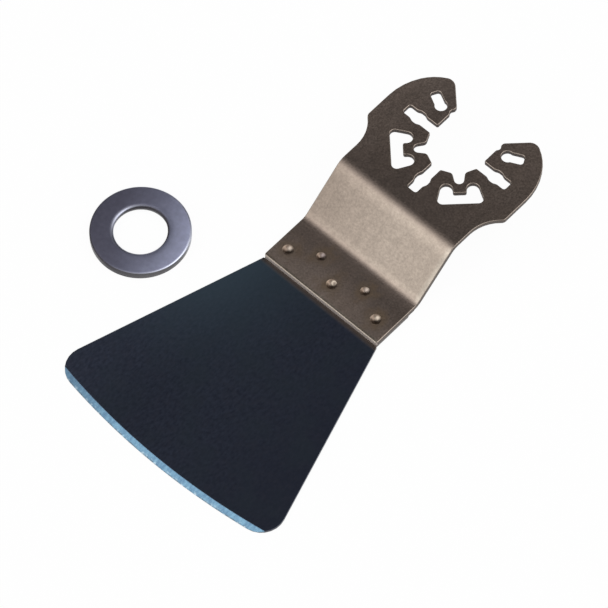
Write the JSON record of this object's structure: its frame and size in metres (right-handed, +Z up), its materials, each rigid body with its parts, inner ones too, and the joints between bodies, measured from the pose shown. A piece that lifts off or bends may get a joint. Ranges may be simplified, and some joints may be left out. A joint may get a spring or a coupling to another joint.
{
  "type": "oscillating tool scraper attachment",
  "caption": "Flexible scraper attachment for an oscillating tool: cranked steel shank with an open star arbor, welded flared blade with a ground convex edge, and a loose spacer washer.",
  "frame": {"origin": "middle of the bounding box in plan, on the table that the blade and the washer lie on", "axes": "+Z up out of the table, +Y along the scraper from the blade's edge to the arbor's open mouth, +X across the blade; the washer lies on the -X side"},
  "size_m": [0.0728, 0.0964, 0.0109],
  "materials": {
    "shank_steel": "heat treated, brown grey",
    "blued_steel": "blued spring steel, bare at the ground edge",
    "weld_steel": "pressed and heat tinted",
    "washer_steel": "dark zinc, violet grey"
  },
  "bodies": {
    "scraper": {"shank_plate": "shank_steel", "scraper_blade": "blued_steel", "weld_1": "weld_steel", "weld_2": "weld_steel", "weld_3": "weld_steel", "weld_4": "weld_steel", "weld_5": "weld_steel"},
    "washer": {"spacer_washer": "washer_steel"}
  },
  "joints": [
    {"name": "washer_lift", "type": "slide", "parent": "scraper", "child": "washer", "axis": [0, 0, 1], "range_m": [0, 0.03]}
  ]
}
